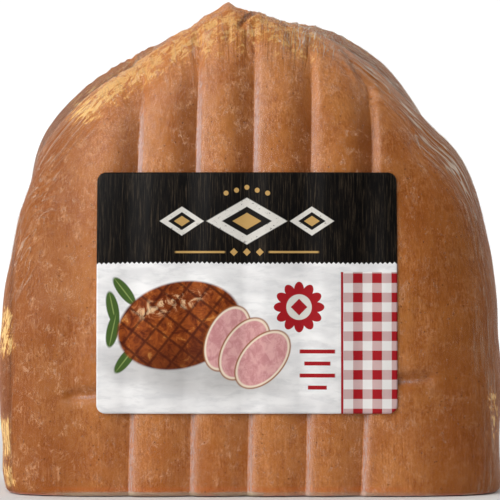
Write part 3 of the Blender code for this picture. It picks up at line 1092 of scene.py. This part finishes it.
def slice_print(paint, spot, colour, middle, turn):
    """One oval slice: a brown rim, a line of fat and pink meat with paler seams."""
    colour = paint.mix(paint.oval(spot, middle, (8.2, 13.4), turn), colour, SLICE_RIM)
    colour = paint.mix(paint.oval(spot, middle, (7.7, 12.9), turn), colour, srgb(240, 222, 202))
    grain = paint.noise(spot, (2.6, 3.4, 1), 5, 0.65, 0.7)
    pink = paint.mix(paint.step(0.36, 0.64, grain), SLICE_DEEP, SLICE_PINK)
    return paint.mix(paint.oval(spot, middle, (7, 12), turn), colour, pink)


CHECK_PITCH = 7.4


def red_ornament(paint, spot, colour):
    """A checked strip down the right edge, and a rosette with short bars beside it."""
    across, up = paint.split(spot)
    weave = [paint.math("FRACT", paint.times(way, 1 / CHECK_PITCH)) for way in (up, across)]
    weave = paint.add(*[paint.step(0.49, 0.51, way) for way in weave])
    checks = paint.mix(paint.times(weave, 0.5), srgb(238, 236, 234), INK_RED)
    below_top = paint.step(8, 7.9, up)
    colour = paint.over(colour, checks, paint.step(37, 37.1, across), below_top)
    edge = paint.times(paint.step(36, 36.1, across), paint.step(37, 36.9, across))
    colour = paint.over(colour, INK_RED, edge, below_top)
    middle = (20, -5.5)
    for turn in range(0, 360, 30):
        side = np.radians(turn)
        petal = (middle[0] + 6.6 * np.cos(side), middle[1] + 6.6 * np.sin(side))
        colour = paint.mix(paint.oval(spot, petal, (3.1, 1.9), turn), colour, INK_RED)
    colour = paint.mix(paint.oval(spot, middle, (6.2, 6.2)), colour, INK_RED)
    colour = paint.mix(paint.oval(spot, middle, (4.9, 4.9)), colour, INK_CREAM)
    colour = paint.mix(paint.diamond(spot, middle, (3.2, 3.2)), colour, INK_RED)
    for count, half in enumerate((6.8, 5, 6.8, 3.6)):
        bar = paint.box(spot, (27, -22.5 - 4.6 * count), (half, 0.75), soft=0.04)
        colour = paint.mix(bar, colour, INK_RED)
    return colour


def label_material():
    paint = Paint("printed_label")
    spot = paint.vector_field("print")
    across, up = paint.split(spot)
    teeth = paint.math("PINGPONG", across, 0.9)
    torn = paint.sum_of((11,), (teeth, 0.9), (paint.centred(paint.noise(spot, 20, 2, 0.5), 1.2),))
    dark = paint.step(-0.08, 0.08, paint.minus(up, torn))
    wood = top_ornament(paint, spot, wood_print(paint, spot))
    paper = red_ornament(paint, spot, ham_picture(paint, spot, paper_print(paint, spot)))
    look = {"Base Color": paint.mix(dark, paper, wood), "Roughness": 0.45, "Specular IOR Level": 0.12}
    return paint.finish(paint.node("BsdfPrincipled", look))


LIT_HEIGHT = 0.09


def add_light(name, size, turn, rise, distance, power, colour):
    """A soft light that faces the ham. turn counts in degrees from the camera's side to the right."""
    data = bpy.data.lights.new(name, "AREA")
    data.shape = "RECTANGLE"
    data.size, data.size_y = size
    data.energy = power
    data.color = colour
    turn, rise = np.radians(turn), np.radians(rise)
    away = Vector((np.sin(turn) * np.cos(rise), -np.cos(turn) * np.cos(rise), np.sin(rise)))
    made = add_object(name, data)
    made.location = Vector((0, 0, LIT_HEIGHT)) + away * distance
    made.rotation_euler = (-away).to_track_quat("-Z", "Y").to_euler()


def make_studio():
    """A pale floor that curves up into a backdrop, soft lights and the camera."""
    bend, start = 0.6, 1.2
    profile = [(-0.4, 0), (start, 0)]
    for turn in np.linspace(0.1, np.pi / 2, 14):
        profile.append((start + np.sin(turn) * bend, bend - np.cos(turn) * bend))
    profile.append((start + bend, 3))
    places = np.array([(side * 3, y, z - 0.0002) for y, z in profile for side in (-1, 1)])
    faces = [(2 * at, 2 * at + 1, 2 * at + 3, 2 * at + 2) for at in range(len(profile) - 1)]
    floor = mesh_object("studio_floor", places, faces)
    paint = Paint("pale_floor")
    glow = paint.times(paint.step(120, 1000, paint.split(paint.place())[1]), 0.6)
    look = {"Base Color": (0.72, 0.72, 0.72), "Roughness": 0.9}
    look.update({"Emission Color": (1, 1, 1), "Emission Strength": glow})
    floor.data.materials.append(paint.finish(paint.node("BsdfPrincipled", look)))

    add_light("side_window", (0.25, 0.85), -76, 6, 1.2, 1.9, (1, 0.93, 0.84))
    add_light("key", (1.35, 1.35), -40, 35, 1.4, 19, (1, 0.985, 0.97))
    add_light("rim_light", (0.3, 0.3), 112, 25, 0.9, 1.3, (1, 0.94, 0.88))
    make_world()


def make_world():
    """White light from all sides, weaker from behind the camera and from the right."""
    world = bpy.data.worlds.new("white_room")
    world.use_nodes = True
    new, link = world.node_tree.nodes.new, world.node_tree.links.new
    split, product = new("ShaderNodeSeparateXYZ"), new("ShaderNodeMath")
    product.operation = "MULTIPLY"
    link(new("ShaderNodeTexCoord").outputs["Generated"], split.inputs[0])
    ways = {"Y": (-0.85, -0.45, 0.12, 0.42), "X": (0, 0.8, 1, 0.45)}
    for socket, (axis, ends) in zip(product.inputs, ways.items()):
        level = new("ShaderNodeMapRange")
        level.interpolation_type = "SMOOTHSTEP"
        link(split.outputs[axis], level.inputs["Value"])
        for name, value in zip(("From Min", "From Max", "To Min", "To Max"), ends):
            level.inputs[name].default_value = value
        link(level.outputs["Result"], socket)
    background = world.node_tree.nodes["Background"].inputs
    link(product.outputs[0], background["Strength"])
    background["Color"].default_value = (1, 1, 1, 1)
    bpy.context.scene.world = world


CAMERA_DISTANCE = 1.25
CAMERA_ACROSS = 0.0002
CAMERA_HEIGHT = 0.0946
FRAME_WIDTH_AT_HAM = 0.2004
SENSOR_WIDTH = 36.0


def make_camera():
    data = bpy.data.cameras.new("camera")
    data.sensor_width = SENSOR_WIDTH
    data.lens = SENSOR_WIDTH * CAMERA_DISTANCE / FRAME_WIDTH_AT_HAM
    camera = add_object("camera", data)
    camera.location = (CAMERA_ACROSS, -CAMERA_DISTANCE, CAMERA_HEIGHT)
    camera.rotation_euler = (np.pi / 2, 0, 0)
    bpy.context.scene.camera = camera


# Columns beyond the grooves, lines through the depth, and rows
HAM_MESH = (28, 70, 110)
FILM_MESH = (32, 82, 128)


def main():
    make_camera()
    make_studio()
    bpy.context.scene.view_settings.view_transform = "Standard"

    ham = make_shell("smoked_ham", *HAM_MESH, -FILM_GAP, False)
    ham.data.materials.append(meat_material())
    film = make_shell("shrink_film", *FILM_MESH, 0, True)
    film.data.materials.append(film_material())
    label = make_label()
    label.data.materials.append(label_material())

    for piece in (ham, film):
        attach(piece, "root")
        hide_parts("ham_in_film")
    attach(label, "root")
    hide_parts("label")


main()
